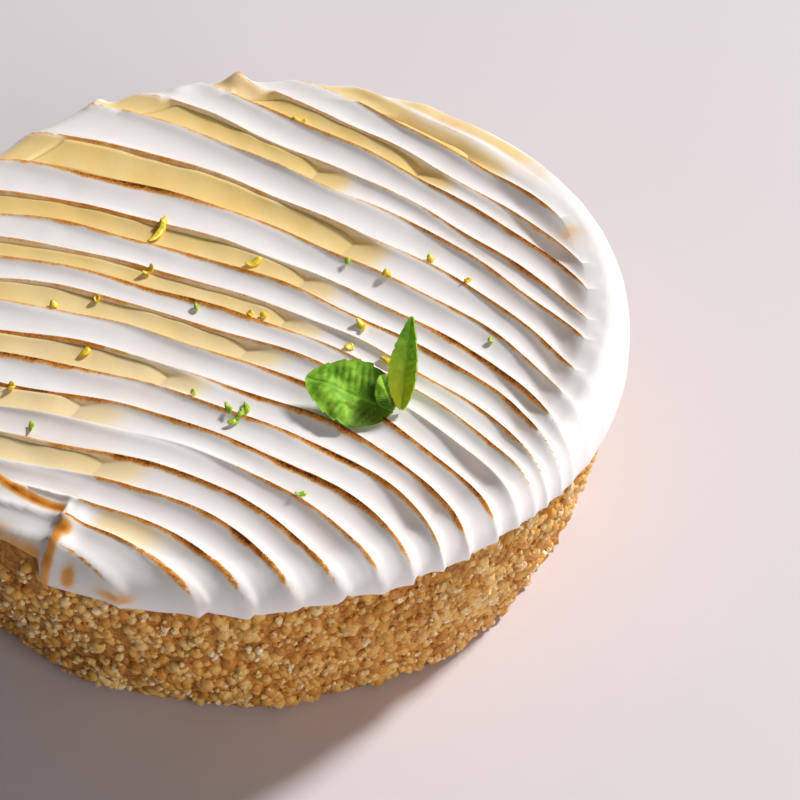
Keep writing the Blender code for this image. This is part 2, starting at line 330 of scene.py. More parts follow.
def rim_surface(x, y, drop):
    """The meringue's outer surface. x and y are the place on the flat top. drop runs from 0
    there to 1 at the hem, a quarter of a superellipse down the rim, and on to 1.5, half a
    turn under the hem's lip. The relief is a height on top and a bite sideways below."""
    flat_radius = np.hypot(x, y)
    angle = np.arctan2(y, x)
    full = fullness(angle)
    power = 1 - FULL_SQUARENESS * full
    out = math.sin(min(drop, 1.0) * math.pi / 2) ** power
    left = max(math.cos(min(drop, 1.0) * math.pi / 2), 0.0) ** power
    pressed = hollow(angle)
    depth = HOLLOW_DEPTH + (HOLLOW_FOOT_DEPTH - HOLLOW_DEPTH) * min(drop, 1.0)
    inset = pressed * depth * np.clip(flat_radius / FLAT_RADIUS, 0, 1) ** 10
    radius = flat_radius + (MERINGUE_RADIUS - flat_radius) * out - inset
    u, c = plan_to_stroke(radius * np.cos(angle), radius * np.sin(angle))
    bite = relief(u, c, flat_radius + min(drop, 1.0) * FLAT_RADIUS)
    calm = calmed(angle) * smooth_step((flat_radius - 45.5) / 4.0)
    bite = bite * (1 - calm * (0.8 + 0.2 * smooth_step(drop / 0.15)))
    hem = HEM_HEIGHT + 0.45 * np.sin(9 * angle + 1.0) * np.cos(4 * angle)
    hem = hem + 0.35 * lumps(20 * angle, 0.0, 0.0, 1.3, 5) + 0.12 * np.clip(-bite, 0, 1.2)
    valley, width, across = across_valley(c)
    notch = np.exp(-(((across * width - 0.55) / 0.4) ** 2)) * (0.5 + 0.5 * np.sin(2.7 * valley + 1))
    hem = hem + 1.0 * notch * smooth_step((0.4 - full) / 0.3)
    hem = hem + HOLLOW_FOOT_RISE * pressed
    z = hem + (dome(flat_radius, angle) + bite * (1 - min(drop, 1.0)) - hem) * left
    radius = radius + 0.8 * bite * out * (1 - 0.55 * min(drop, 1.0))
    if drop > 1.0:
        under = (drop - 1.0) * math.pi
        radius = radius - 0.8 * (1 - math.cos(under))
        z = z - 0.5 * math.sin(under)
    away = (angle - HOLLOW_END) * FLAT_RADIUS
    peak = np.exp(-((away / PEAK_WIDTH) ** 2) - ((flat_radius - FLAT_RADIUS) / PEAK_REACH) ** 2)
    z = z + PEAK_HEIGHT * peak * (1 - min(drop, 1.0))
    x, y = radius * np.cos(angle), radius * np.sin(angle)
    for tip_x, tip_y, height, wide in TIPS:
        z = z + height * np.exp(-((x - tip_x) ** 2 + (y - tip_y) ** 2) / wide**2) * left
    return np.stack([x, y, z], axis=-1), u, c


def stroke_grid(samples, columns):
    """u and c on a grid whose rows follow the strokes, each from rim to rim. samples are the
    fractions across a valley that carry a row."""
    c = np.concatenate([CRESTS[i] + VALLEY_WIDTHS[i] * samples for i in range(len(VALLEY_WIDTHS))])
    c = c[(c > FIRST_ROW) & (c < LAST_ROW)]
    probe = np.linspace(-FLAT_RADIUS, FLAT_RADIUS, 2401)
    inside = np.hypot(*stroke_to_plan(probe[None, :], c[:, None])) < FLAT_RADIUS
    first = probe[inside.argmax(axis=1)]
    last = probe[len(probe) - 1 - inside[:, ::-1].argmax(axis=1)]
    u = first[:, None] + (last - first)[:, None] * np.linspace(0, 1, columns)[None, :]
    return u, np.repeat(c[:, None], columns, axis=1)


def border_of(rows, columns):
    """Numbers of a grid's border points, once round, anticlockwise seen from above."""
    index = np.arange(rows * columns).reshape(rows, columns)
    return np.concatenate([index[0, :-1], index[:-1, -1], index[-1, :0:-1], index[:0:-1, 0]])


def ring_quads(first, second):
    """Quads between two closed rings of point numbers, the second one lower."""
    return np.stack([first, second, np.roll(second, -1), np.roll(first, -1)], axis=1)


def deepness(points):
    """How thick the curd lies, 0 to 0.7: more towards the far side."""
    return 0.7 * smooth_step((points[:, 1] + 25) / 50)


def top_height(x, y):
    """Height of the meringue or of the curd in its strokes, whichever is higher."""
    flat_radius = np.hypot(x, y)
    u, c = plan_to_stroke(x, y)
    angle = np.arctan2(y, x)
    crest = dome(flat_radius, angle) + relief(u, c, flat_radius)
    return np.maximum(crest, curd_height(u, c, flat_radius, angle))


# --------------------------------------------------------------- materials


def linear(code, alpha=1.0):
    """sRGB hex to the linear colour that a shader takes."""
    parts = [int(code[i : i + 2], 16) / 255 for i in (0, 2, 4)]
    return [v / 12.92 if v <= 0.04045 else ((v + 0.055) / 1.055) ** 2.4 for v in parts] + [alpha]


def add_node(tree, kind, sockets=None, out=0, stops=None, **settings):
    """Adds a shader node. sockets gives its inputs, by name or number, as values or as the
    outputs that feed them; settings are its properties; stops are a ramp's places and hex
    colours. Returns one of its outputs."""
    made = tree.nodes.new("ShaderNode" + kind)
    for key, value in settings.items():
        setattr(made, key, value)
    for key, value in (sockets or {}).items():
        if isinstance(value, bpy.types.NodeSocket):
            tree.links.new(value, made.inputs[key])
        else:
            made.inputs[key].default_value = value
    for number, (place, code) in enumerate(stops or ()):
        elements = made.color_ramp.elements
        element = elements[number] if number < 2 else elements.new(place)
        element.position = place
        element.color = linear(code)
    return made.outputs[out]


def new_material(name):
    """A node material emptied of its nodes but for a texture coordinate node; returns it, its tree and its
    Object place.
    """
    material = bpy.data.materials.new(name)
    material.use_nodes = True
    tree = material.node_tree
    tree.nodes.clear()
    return material, tree, add_node(tree, "TexCoord", out="Object")


def finish_material(tree, radius=None, **sockets):
    """Closes a material with a Principled shader; radius is how far each of red, green and
    blue spreads under the surface."""
    named = {key.replace("_", " "): value for key, value in sockets.items()}
    if radius:
        named["Subsurface Radius"] = radius
    shader = add_node(tree, "BsdfPrincipled", named, out="BSDF")
    output = tree.nodes.new("ShaderNodeOutputMaterial")
    tree.links.new(shader, output.inputs["Surface"])


def fine(size_mm):
    """The noise scale whose features are about this many millimetres across."""
    return 1 / (size_mm * MM)


SOFT = dict(interpolation_type="SMOOTHSTEP")
COLOUR = dict(out=2, data_type="RGBA")
PRODUCT = dict(operation="MULTIPLY")
PRODUCT_AND_SUM = dict(operation="MULTIPLY_ADD")
GREATEST = dict(operation="MAXIMUM")


def toasted_meringue(colours):
    """Italian meringue, whipped and combed, then browned with a torch: a satin white foam
    whose crests caramelise in grains, from peach through amber to dark brown."""
    material, tree, place = new_material("Toasted Italian meringue")
    gap = add_node(tree, "Attribute", out="Fac", attribute_name="toast_gap")
    toast = add_node(tree, "Attribute", out="Fac", attribute_name="toast")
    scorch = add_node(tree, "Attribute", out="Fac", attribute_name="scorch")
    film = add_node(tree, "Attribute", out="Fac", attribute_name="film")
    deep = add_node(tree, "Attribute", out="Fac", attribute_name="deep")
    grain = add_node(tree, "TexNoise", {"Vector": place, "Scale": fine(0.3), "Detail": 2.0,
                                        "Roughness": 0.7})
    patchy = add_node(tree, "TexNoise", {"Vector": place, "Scale": fine(2.2), "Detail": 2.0,
                                         "Roughness": 0.5})
    pores = add_node(tree, "TexNoise", {"Vector": place, "Scale": fine(0.9), "Detail": 2.0,
                                        "Roughness": 0.5})

    # The browned line: its width, its ragged edge and how it fades from the crest
    uneven = add_node(tree, "MapRange", {0: patchy, 1: 0.3, 2: 0.7, 3: 0.88, 4: 1.12}, **SOFT)
    width = add_node(tree, "Math", {0: toast, 1: 0.72, 2: 0.26}, **PRODUCT_AND_SUM)
    width = add_node(tree, "Math", {0: width, 1: uneven}, **PRODUCT)
    rag = add_node(tree, "Math", {0: grain, 1: 0.16, 2: -0.08}, **PRODUCT_AND_SUM)
    ragged = add_node(tree, "Math", {0: gap, 1: rag}, operation="ADD")
    share = add_node(tree, "Math", {0: ragged, 1: width}, operation="DIVIDE")
    line = add_node(tree, "Math", {0: 1.0, 1: share}, operation="SUBTRACT", use_clamp=True)
    line = add_node(tree, "Math", {0: line, 1: 1.3}, operation="POWER")

    # How dark it is, with a speckle of grains, a pale halo and the smudges off the crests
    uneven = add_node(tree, "MapRange", {0: patchy, 1: 0.25, 2: 0.75, 3: 0.75, 4: 1.15}, **SOFT)
    depth = add_node(tree, "Math", {0: toast, 1: uneven}, **PRODUCT)
    burn = add_node(tree, "Math", {0: line, 1: depth}, **PRODUCT)
    burn = add_node(tree, "Math", {0: burn, 1: 1.02}, **PRODUCT)
    speckle = add_node(tree, "Math", {0: grain, 1: 2.6, 2: -1.2}, **PRODUCT_AND_SUM)
    burn = add_node(tree, "Math", {0: burn, 1: speckle, 2: burn}, **PRODUCT_AND_SUM)
    near = add_node(tree, "MapRange", {0: gap, 1: 1.3, 2: 0.1, 3: 0.0, 4: 1.0}, **SOFT)
    pale = add_node(tree, "Math", {0: toast, 1: 0.1}, **PRODUCT)
    halo = add_node(tree, "Math", {0: near, 1: pale}, **PRODUCT)
    uneven = add_node(tree, "MapRange", {0: patchy, 1: 0.2, 2: 0.8, 3: 0.7, 4: 1.2}, **SOFT)
    smudge = add_node(tree, "Math", {0: scorch, 1: uneven}, **PRODUCT)
    burn = add_node(tree, "Math", {0: burn, 1: halo}, **GREATEST)
    burn = add_node(tree, "Math", {0: burn, 1: smudge}, **GREATEST)

    # White foam, stained by the curd where it is thin, under the brown
    stain = add_node(tree, "Mix", {0: deep, 6: linear(colours.curd),
                                   7: linear(colours.curd_deep)}, **COLOUR)
    thin = add_node(tree, "MapRange", {0: film, 1: 1.0, 2: 0.05, 3: 0.0, 4: 1.0}, **SOFT)
    foam = add_node(tree, "Mix", {0: thin, 6: linear(colours.meringue), 7: stain}, **COLOUR)
    brown = add_node(tree, "ValToRGB", {"Fac": burn}, out="Color",
                     stops=[(0.0, "F6E9E0"), (0.14, "F8D2A8"), (0.3, "EFAC60"), (0.5, "D88A30"),
                            (0.78, "9C5616"), (1.0, "4E270C")])
    browned = add_node(tree, "MapRange", {0: burn, 1: 0.0, 2: 0.3, 3: 0.0, 4: 1.0}, **SOFT)
    colour = add_node(tree, "Mix", {0: browned, 6: foam, 7: brown}, **COLOUR)
    crisp = add_node(tree, "Math", {0: grain, 1: burn}, **PRODUCT)
    height = add_node(tree, "Math", {0: pores, 1: 0.12, 2: crisp}, **PRODUCT_AND_SUM)
    normal = add_node(tree, "Bump", {"Height": height, "Strength": 0.25, "Distance": 0.25 * MM})
    finish_material(tree, (1.0, 0.9, 0.85), Base_Color=colour, Roughness=0.46, IOR=1.42, Normal=normal,
                    Subsurface_Weight=0.2, Subsurface_Scale=2.0 * MM)
    return material


def set_curd(colours):
    """Lemon curd set with egg and butter: smooth, opaque yellow with an uneven soft gloss."""
    material, tree, place = new_material("Set lemon curd")
    deep = add_node(tree, "Attribute", out="Fac", attribute_name="deep")
    pools = add_node(tree, "TexNoise", {"Vector": place, "Scale": fine(6.0), "Detail": 3.0,
                                        "Roughness": 0.6})
    ripples = add_node(tree, "TexNoise", {"Vector": place, "Scale": fine(1.6), "Detail": 2.0,
                                          "Roughness": 0.5})
    pooled = add_node(tree, "MapRange", {0: pools, 1: 0.3, 2: 0.7, 3: 0.0, 4: 1.0}, **SOFT)
    deep = add_node(tree, "Math", {0: pooled, 1: 0.4, 2: deep}, **PRODUCT_AND_SUM)
    deep = add_node(tree, "Math", {0: deep, 1: 1.0}, operation="MINIMUM")
    colour = add_node(tree, "Mix", {0: deep, 6: linear(colours.curd),
                                    7: linear(colours.curd_deep)}, **COLOUR)
    dull = add_node(tree, "MapRange", {0: pools, 1: 0.3, 2: 0.7, 3: 0.38, 4: 0.5}, **SOFT)
    normal = add_node(tree, "Bump", {"Height": ripples, "Strength": 0.12, "Distance": 0.3 * MM})
    finish_material(tree, (1.0, 0.8, 0.35), Base_Color=colour, Roughness=dull, IOR=1.42, Normal=normal,
                    Subsurface_Weight=0.2, Subsurface_Scale=2.0 * MM)
    return material


def crumb_core(colours):
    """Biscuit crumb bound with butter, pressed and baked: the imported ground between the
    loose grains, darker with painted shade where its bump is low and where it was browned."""
    material, tree, place = new_material("Pressed biscuit crumb")
    grains = add_node(tree, "TexNoise", {"Vector": place, "Scale": fine(0.9), "Detail": 3.0,
                                         "Roughness": 0.7})
    patches = add_node(tree, "TexNoise", {"Vector": place, "Scale": fine(7.0), "Detail": 2.0,
                                          "Roughness": 0.5})
    light = add_node(tree, "MapRange", {0: grains, 1: 0.3, 2: 0.7, 3: 0.0, 4: 1.0}, **SOFT)
    baked = add_node(tree, "MapRange", {0: patches, 1: 0.45, 2: 0.75, 3: 0.0, 4: 0.5}, **SOFT)
    # The low places of the bump take the dark crumb: painted shade in the crevices between the grains, over
    # the crumb's own darker tone
    colour = add_node(tree, "Mix", {0: light, 6: linear(colours.crumb_dark_and_crevice_shade),
                                    7: linear(colours.crumb)}, **COLOUR)
    colour = add_node(tree, "Mix", {0: baked, 6: colour, 7: linear(colours.crumb_brown)}, **COLOUR)
    normal = add_node(tree, "Bump", {"Height": grains, "Strength": 0.6, "Distance": 0.5 * MM})
    finish_material(tree, Base_Color=colour, Roughness=0.7, Normal=normal,
                    Subsurface_Weight=0.1, Subsurface_Scale=1.0 * MM)
    return material


def crumb_grains(name, stops, roughness, weight):
    """Loose grains of crumb or sugar: small glassy to dull bits whose tone is set grain by
    grain, with a little change of colour inside each."""
    material, tree, place = new_material(name)
    tone = add_node(tree, "Attribute", out="Fac", attribute_name="tone")
    cloud = add_node(tree, "TexNoise", {"Vector": place, "Scale": fine(0.5), "Detail": 2.0,
                                        "Roughness": 0.5})
    inside = add_node(tree, "Math", {0: cloud, 1: 0.3, 2: -0.15}, **PRODUCT_AND_SUM)
    tone = add_node(tree, "Math", {0: tone, 1: inside}, operation="ADD", use_clamp=True)
    colour = add_node(tree, "ValToRGB", {"Fac": tone}, out="Color", stops=stops)
    finish_material(tree, (1.0, 0.6, 0.3), Base_Color=colour, Roughness=roughness, IOR=1.5,
                    Subsurface_Weight=weight, Subsurface_Scale=1.0 * MM)
    return material


def mint_leaf(colours):
    """A fresh mint leaf: waxy green above, paler and duller below, light along its veins, and darkened near
    its foot by painted shade where the upright leaf shadows it.
    """
    material, tree, place = new_material("Mint leaf")
    mottle = add_node(tree, "TexNoise", {"Vector": place, "Scale": fine(1.1), "Detail": 3.0,
                                         "Roughness": 0.6})
    down = add_node(tree, "TexNoise", {"Vector": place, "Scale": fine(0.5), "Detail": 2.0,
                                       "Roughness": 0.5})
    light = add_node(tree, "MapRange", {0: mottle, 1: 0.3, 2: 0.7, 3: 0.0, 4: 1.0}, **SOFT)
    painted_shade = add_node(tree, "Attribute", out="Fac", attribute_name="painted_shade")
    glow = add_node(tree, "Attribute", out="Fac", attribute_name="glow")
    underside = add_node(tree, "Attribute", out="Fac", attribute_name="underside")
    vein = add_node(tree, "Attribute", out="Fac", attribute_name="vein")
    vein = add_node(tree, "Math", {0: vein, 1: 0.55}, **PRODUCT)
    above = add_node(tree, "Mix", {0: light, 6: linear(colours.mint_dark),
                                   7: linear(colours.mint)}, **COLOUR)
    # Painted shade: the blade turns dark green near its foot, standing for the shadow that the upright leaf
    # casts on it
    above = add_node(tree, "Mix", {0: painted_shade, 6: above, 7: linear(colours.mint_painted_shade)}, **COLOUR)
    above = add_node(tree, "Mix", {0: glow, 6: above, 7: linear(colours.mint_light)}, **COLOUR)
    below = add_node(tree, "Mix", {0: light, 6: linear(colours.mint_under),
                                   7: linear("A9CE5F")}, **COLOUR)
    colour = add_node(tree, "Mix", {0: underside, 6: above, 7: below}, **COLOUR)
    colour = add_node(tree, "Mix", {0: vein, 6: colour, 7: linear(colours.mint_vein)}, **COLOUR)
    normal = add_node(tree, "Bump", {"Height": down, "Strength": 0.25, "Distance": 0.15 * MM})
    finish_material(tree, (0.5, 1.0, 0.2), Base_Color=colour, Roughness=0.6, IOR=1.3, Normal=normal,
                    Subsurface_Weight=0.2, Subsurface_Scale=1.0 * MM)
    return material


def citrus_zest(name, pale, deep):
    """Grated peel: thin, oily and bright, paler on its pith side."""
    material, tree, place = new_material(name)
    oil = add_node(tree, "TexNoise", {"Vector": place, "Scale": fine(0.5), "Detail": 2.0,
                                      "Roughness": 0.5})
    pith = add_node(tree, "MapRange", {0: oil, 1: 0.35, 2: 0.65, 3: 0.0, 4: 1.0}, **SOFT)
    colour = add_node(tree, "Mix", {0: pith, 6: linear(deep), 7: linear(pale)}, **COLOUR)
    finish_material(tree, Base_Color=colour, Roughness=0.35, Subsurface_Weight=0.2,
                    Subsurface_Scale=1.0 * MM)
    return material


def matt_ground(code):
    """A pale matt table top."""
    material, tree, _ = new_material("Matt pale ground")
    finish_material(tree, Base_Color=linear(code), Roughness=0.6)
    return material


# ------------------------------------------------------------------ meringue

VALLEY_ROWS = np.array([0.0, 0.03, 0.065, 0.105, 0.15, 0.21, 0.29, 0.39, 0.5,
                        0.61, 0.71, 0.79, 0.85, 0.895, 0.935, 0.97])
MERINGUE_COLUMNS = 184
SKIRT_DROPS = np.concatenate([np.linspace(0, 1, 21)[1:], [1.12, 1.25, 1.38, 1.5]])
UNDERSIDE = ((51.0, 30.6), (40.0, 31.0), (20.0, 31.0), (0.0, 31.0))

# Broader browned places as x, y, radius and strength
SCORCHES = (
    (49.0, 8.8, 2.4, 0.22), (47.0, 27.0, 6.0, 0.16), (36.0, 41.0, 7.0, 0.20),
    (-12.0, 28.5, 5.0, 0.12), (2.5, 52.0, 4.0, 0.16), (25.0, -45.0, 4.0, 0.07),
    (7.5, -49.0, 3.5, 0.08), (-25.4, -42.8, 1.1, 0.70), (33.0, -40.5, 3.0, 0.08),
)


def toast_fields(u, c):
    """Distance to the crest, counted longer on the side that lay behind it; how far that
    crest is browned; and a blush behind it towards the stroke's end."""
    valley, width, across = across_valley(c)
    upper = across > 0.5
    gap = np.where(upper, (1 - across) * width, across * width * 2.4)
    crest = valley + upper
    place = np.interp(u, TOAST_STATIONS, np.arange(len(TOAST_STATIONS)))
    left = np.clip(np.floor(place).astype(int), 0, len(TOAST_STATIONS) - 2)
    part = smooth_step(place - left)
    toast = TOAST[crest, left] * (1 - part) + TOAST[crest, left + 1] * part
    toast = toast * (1 + 0.16 * lumps(u, crest * 7.3, 0.0, 3.0, 11))
    starts = 24 + 9 * np.sin(2.3 * valley)
    wide = 0.5 + 0.7 * smooth_step((u - starts) / 14)
    blush = 0.12 * np.exp(-((across * width / wide) ** 2)) * smooth_step((u - starts) / 7)
    blush = blush * smooth_step((starts + 27 - u) / 6) * TOAST[valley, -2]
    return gap, np.clip(toast, 0, 1), blush


def thin_film(u, c, radius):
    """How far the foam is thinned to a stain of curd, 0 to 1: where a stroke that reached the
    curd comes up again at its end, and along one stroke that only just missed it."""
    valley, width, across = across_valley(c)
    inside = smooth_step(np.minimum(across, 1 - across) * width / 0.9)
    end = smooth_step(bareness(u - 6.5, valley, radius - 2.0) / 0.8)
    missed = (valley == STAINED_VALLEY) * smooth_step((u - 8) / 4) * smooth_step((25 - u) / 10)
    return np.maximum(end, 0.85 * missed) * inside


def rim_curd(u, c, radius, angle, drops):
    """How far the meringue is thinned to a stain of curd beyond the last of the bare floor:
    in the strokes that reached the curd, out to the far rim, and in one band along it."""
    valley, _, across = across_valley(c)
    inside = smooth_step(np.minimum(across, 1 - across) * 7)
    start = bareness(u, valley, 0.0 * radius) * smooth_step((radius - 45.5) / 2) * smooth_step(angle / 0.3)
    start = start * inside * smooth_step((0.5 - drops) / 0.3)
    around = smooth_step((angle - 0.50) / 0.12) * smooth_step((1.13 - angle) / 0.2)
    band = around * smooth_step((radius - 51.2) / 0.8) * smooth_step((54.4 - radius) / 0.8)
    return np.maximum(start, band * smooth_step((0.6 - drops) / 0.2))


def scorch_field(points, drop):
    """Soft browning away from the crests: round places on top, the upright edge of the peak,
    the wall beside it and the foot of the hollow."""
    x, y, z = points[:, 0], points[:, 1], points[:, 2]
    total = np.zeros(len(x))
    for px, py, radius, strength in SCORCHES:
        total = np.maximum(total, strength * np.exp(-((x - px) ** 2 + (y - py) ** 2) / radius**2))
    angle = np.arctan2(y, x)
    away = (angle - HOLLOW_END) * MERINGUE_RADIUS
    outside = smooth_step((np.hypot(x, y) - 47.0) / 2)
    edge = np.exp(-(((away - 0.3) / 0.8) ** 2)) * smooth_step(drop / 0.1) * 0.5
    wall = np.exp(-(((away - 3.6) / 1.1) ** 2) - ((z - 30.3) / 1.5) ** 2) * 0.46 * outside
    wall = wall + np.exp(-(((away - 10.5) / 3.0) ** 2) - ((z - 29.6) / 1.0) ** 2) * 0.36
    foot = hollow(angle) * smooth_step((drop - 0.45) / 0.5) * 0.30
    brim = hollow(angle) * np.exp(-(((drop - 0.09) / 0.06) ** 2)) * 0.75
    return np.maximum.reduce([total, edge, wall, foot, brim])


def build_meringue(colours):
    """The combed top on a grid that follows the strokes, its rounded rim ring by ring, and
    an underside that closes it beneath."""
    u, c = stroke_grid(VALLEY_ROWS, MERINGUE_COLUMNS)
    rows, columns = u.shape
    flat = stroke_to_plan(u.ravel(), c.ravel())
    top, _, _ = rim_surface(flat[0], flat[1], 0.0)
    u, c = u.ravel(), c.ravel()
    points, quads = [top], [grid_quads(rows, columns)]
    strokes = [np.stack([u, c], axis=1)]
    drops = [np.zeros(len(top))]
    border = border_of(rows, columns)
    ring, total = border, len(top)
    for drop in SKIRT_DROPS:
        placed, ring_u, ring_c = rim_surface(flat[0][border], flat[1][border], drop)
        below = np.arange(total, total + len(border))
        quads.append(ring_quads(ring, below))
        points.append(placed)
        strokes.append(np.stack([ring_u, ring_c], axis=1))
        drops.append(np.full(len(border), drop))
        ring, total = below, total + len(border)
    angle = np.arctan2(points[-1][:, 1], points[-1][:, 0])
    for radius, height in UNDERSIDE:
        below = np.arange(total, total + len(border))
        quads.append(ring_quads(ring, below))
        points.append(np.stack([radius * np.cos(angle), radius * np.sin(angle),
                                np.full(len(angle), height)], axis=1))
        strokes.append(strokes[-1])
        drops.append(np.full(len(border), 1.5))
        ring, total = below, total + len(border)
    points, drops = np.concatenate(points), np.concatenate(drops)
    strokes = np.concatenate(strokes)
    points[:, 2] += 0.05 * lumps(points[:, 0], points[:, 1], points[:, 2], 2.6, 3) * (drops < 1.2)
    gap, toast, blush = toast_fields(strokes[:, 0], strokes[:, 1])
    toast = toast * (1 - smooth_step((drops - 0.35) / 0.45))
    radius = np.hypot(points[:, 0], points[:, 1])
    around = np.arctan2(points[:, 1], points[:, 0])
    toast = toast * (1 - calmed(around) * smooth_step((radius - 48.0) / 1.8))
    toast = toast * (1 - hollow(around) * np.maximum(drops > 0, smooth_step((radius - 43.0) / 1.5)))
    film = points[:, 2] - curd_height(strokes[:, 0], strokes[:, 1], radius, around)
    film = np.where(drops > 0, 5.0, film)
    film = np.minimum(film, 1.0 - thin_film(strokes[:, 0], strokes[:, 1], radius) * (drops < 0.2))
    film = np.minimum(film, 0.8 * (1 - rim_curd(strokes[:, 0], strokes[:, 1], radius, around, drops)))
    scorch = np.maximum(scorch_field(points, drops), blush)
    fields = {"toast_gap": gap, "toast": toast, "film": film, "scorch": scorch,
              "deep": deepness(points)}
    add_piece("meringue_top", points, np.concatenate(quads), toasted_meringue(colours),
              ["meringue"], fields)


# ---------------------------------------------------------------------- curd

CURD_ROWS = np.array([0.0, 0.08, 0.16, 0.28, 0.42, 0.58, 0.72, 0.84, 0.92])
CURD_COLUMNS = 150
CURD_SIDE = ((49.45, 31.2), (47.0, 18.0), (44.7, 7.3), (42.7, 5.4), (20.0, 5.4), (0.0, 5.4))


def build_curd(colours):
    """The curd's swollen top on the strokes' grid, its side and its bottom."""
    u, c = stroke_grid(CURD_ROWS, CURD_COLUMNS)
    rows, columns = u.shape
    x, y = stroke_to_plan(u.ravel(), c.ravel())
    z = curd_height(u.ravel(), c.ravel(), np.hypot(x, y), np.arctan2(y, x))
    points, quads = [np.stack([x, y, z], axis=1)], [grid_quads(rows, columns)]
    border = border_of(rows, columns)
    angle = np.arctan2(y[border], x[border])
    ring, total = border, len(x)
    for radius, height in CURD_SIDE:
        below = np.arange(total, total + len(border))
        quads.append(ring_quads(ring, below))
        points.append(np.stack([radius * np.cos(angle), radius * np.sin(angle),
                                np.full(len(angle), height)], axis=1))
        ring, total = below, total + len(border)
    points = np.concatenate(points)
    add_piece("curd_filling", points, np.concatenate(quads), set_curd(colours),
              ["lemon_curd"], {"deep": deepness(points)})


# ---------------------------------------------------------------------- case

CASE_TURNS = 420
WALL_STEPS = 46
# Radius and height, from the middle of the well's floor to the brim, and along the foot
CASE_WELL = ((0.0, 5.0), (43.0, 5.0), (45.0, 7.0), (49.8, CASE_HEIGHT - 0.05))
CASE_FOOT = ((45.0, 0.02), (20.0, 0.0), (0.0, 0.0))


def wall_profile(t):
    """Radius and height down the outside of the case, from its brim at t = 0 to its foot at
    t = 1: a rounded shoulder, then a flared wall with a slight bulge."""
    shoulder = np.clip(t / 0.2, 0, 1)
    wall = np.clip((t - 0.2) / 0.8, 0, 1)
    rim = CASE_RADIUS - 0.9
    radius = 51.0 + (rim - 51.0) * np.sin(shoulder * math.pi / 2)
    radius = radius - (rim - BASE_RADIUS + 0.6) * wall + WALL_BULGE * np.sin(math.pi * wall)
    height = CASE_HEIGHT - 5.6 * (1 - np.cos(shoulder * math.pi / 2))
    return radius, height - (CASE_HEIGHT - 5.6 - 0.5) * wall


def wall_lumps(angle, height):
    """How far the pressed wall stands out: lumps of three sizes."""
    x, y = 52 * np.cos(angle), 52 * np.sin(angle)
    big = lumps(x, y, height, 9.0, 1)
    middle = lumps(x, y, height, 3.6, 2)
    small = lumps(x, y, height, 1.4, 3)
    return 0.65 * big + 0.5 * middle + 0.25 * small


def build_case(colours):
    """The core of the case: its lumpy outer wall on a turned grid, with the well inside."""
    angle = np.linspace(0, 2 * math.pi, CASE_TURNS, endpoint=False)[None, :]
    t = np.linspace(0, 1, WALL_STEPS)[:, None]
    radius, height = wall_profile(t)
    ease = smooth_step(t / 0.1) * (1 - 0.4 * smooth_step((t - 0.94) / 0.06))
    radius = radius + wall_lumps(angle, height) * ease
    well, foot = np.array(CASE_WELL), np.array(CASE_FOOT)
    radius = np.concatenate([well[:, :1] + 0 * angle, radius, foot[:, :1] + 0 * angle])
    height = np.concatenate([well[:, 1:] + 0 * angle, height + 0 * angle, foot[:, 1:] + 0 * angle])
    points = np.stack([radius * np.cos(angle), radius * np.sin(angle), height], axis=-1).reshape(-1, 3)
    quads = grid_quads(len(radius), CASE_TURNS, wrap=True)[:, ::-1]
    add_piece("crumb_case", points, quads, crumb_core(colours), ["crust"])


def grain_shape():
    """A twenty-sided crumb of unit radius: its twelve corners and its faces."""
    g = (1 + 5**0.5) / 2
    corners = np.array([(-1, g, 0), (1, g, 0), (-1, -g, 0), (1, -g, 0), (0, -1, g), (0, 1, g),
                        (0, -1, -g), (0, 1, -g), (g, 0, -1), (g, 0, 1), (-g, 0, -1), (-g, 0, 1)], float)
    apart = np.linalg.norm(corners[:, None] - corners[None, :], axis=2)
    near = apart < 2.1
    a, b, c = np.meshgrid(*[np.arange(12)] * 3, indexing="ij")
    chosen = (a < b) & (b < c) & near[a, b] & near[b, c] & near[a, c]
    faces = np.stack([a[chosen], b[chosen], c[chosen]], axis=1)
    p = corners[faces]
    facing = np.einsum("ij,ij->i", np.cross(p[:, 1] - p[:, 0], p[:, 2] - p[:, 0]), p.mean(axis=1))
    faces[facing < 0] = faces[facing < 0][:, ::-1]
    return corners / np.linalg.norm(corners[0]), faces


def scattered(rng, places, sizes, squash):
    """Copies of the grain, each with its own size, turn, flattening and dented corners.
    squash is the least and most of each grain's three side lengths."""
    corners, faces = grain_shape()
    count = len(places)
    turn = np.linalg.qr(rng.normal(size=(count, 3, 3)))[0]
    dented = corners[None] * rng.uniform(0.86, 1.12, (count, 12, 1))
    dented = dented * rng.uniform(*squash, (count, 1, 3))
    points = np.einsum("nij,nkj->nki", turn, dented) * sizes[:, None, None] + places[:, None]
    flip = np.linalg.det(turn) < 0
    every = faces[None] + 12 * np.arange(count)[:, None, None]
    every[flip] = every[flip][:, :, ::-1]
    return points.reshape(-1, 3), every.reshape(-1, 3)


def wall_places(rng, count, t_low, t_high, out):
    """Random places on the case's wall, out millimetres proud of its core."""
    angle = rng.uniform(-math.pi, math.pi, count)
    t = rng.uniform(t_low, t_high, count)
    radius, height = wall_profile(t)
    radius = radius + wall_lumps(angle, height) + out
    return np.stack([radius * np.cos(angle), radius * np.sin(angle), height], axis=1)


